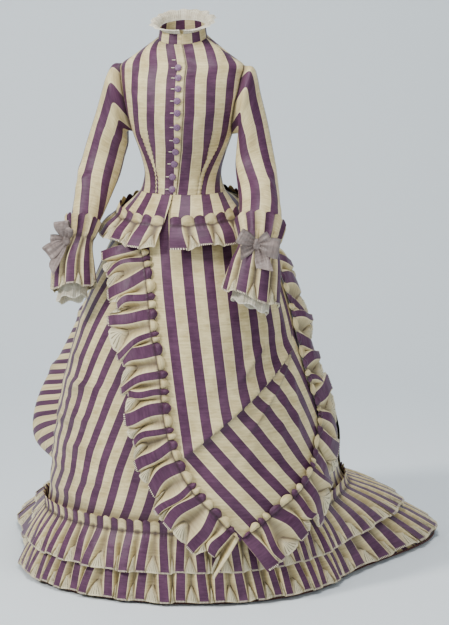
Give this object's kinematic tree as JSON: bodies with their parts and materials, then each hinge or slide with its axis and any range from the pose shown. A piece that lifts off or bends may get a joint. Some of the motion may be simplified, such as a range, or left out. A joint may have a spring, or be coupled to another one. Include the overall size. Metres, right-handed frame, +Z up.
{
  "type": "visiting dress",
  "caption": "Fitted buttoned bodice with peplum and long sleeves over a draped bustle skirt with apron, gathered flounces and train, in wide striped silk",
  "frame": {"origin": "the wearing mount: on the body's upright axis, 1.25 m above the floor, at the height of the shoulder points that carry the bodice", "axes": "+Z is up, the front faces -Y, the train runs to +Y, and +X is the wearer's left"},
  "size_m": [1.1342, 1.2329, 1.3846],
  "materials": {
    "striped_silk": "crisp silk taffeta with broad purple and cream stripes and a soft sheen",
    "cream_net": "fine sheer cream net, closely pleated, matt",
    "taupe_ribbon": "grey mauve silk with a soft sheen",
    "purple_button": "buttons covered in purple silk"
  },
  "bodies": {
    "root": {"bodice_front_right": "striped_silk", "bodice_front_left": "striped_silk", "bodice_back_right": "striped_silk", "bodice_back_left": "striped_silk", "collar_band": "striped_silk", "sleeve_upper_right": "striped_silk", "sleeve_under_right": "striped_silk", "sleeve_upper_left": "striped_silk", "sleeve_under_left": "striped_silk", "cuff_flounce_right": "striped_silk", "cuff_flounce_left": "striped_silk", "peplum_front_right": "striped_silk", "peplum_front_left": "striped_silk", "peplum_back": "striped_silk", "peplum_frill_right": "striped_silk", "peplum_frill_left": "striped_silk", "peplum_frill_back": "striped_silk", "skirt_front": "striped_silk", "skirt_side_right": "striped_silk", "skirt_side_left": "striped_silk", "skirt_back": "striped_silk", "flounce_lower_front": "striped_silk", "flounce_lower_right": "striped_silk", "flounce_lower_left": "striped_silk", "flounce_lower_back": "striped_silk", "flounce_upper_front": "striped_silk", "flounce_upper_right": "striped_silk", "flounce_upper_left": "striped_silk", "flounce_upper_back": "striped_silk", "apron": "striped_silk", "apron_frill_right": "striped_silk", "apron_frill_left": "striped_silk", "back_drape": "striped_silk", "neck_frill": "cream_net", "cuff_lace_right": "cream_net", "cuff_lace_left": "cream_net", "cuff_bow_right": "taupe_ribbon", "cuff_bow_left": "taupe_ribbon", "button_01": "purple_button", "button_02": "purple_button", "button_03": "purple_button", "button_04": "purple_button", "button_05": "purple_button", "button_06": "purple_button", "button_07": "purple_button", "button_08": "purple_button", "button_09": "purple_button", "button_10": "purple_button", "button_11": "purple_button"}
  },
  "joints": []
}
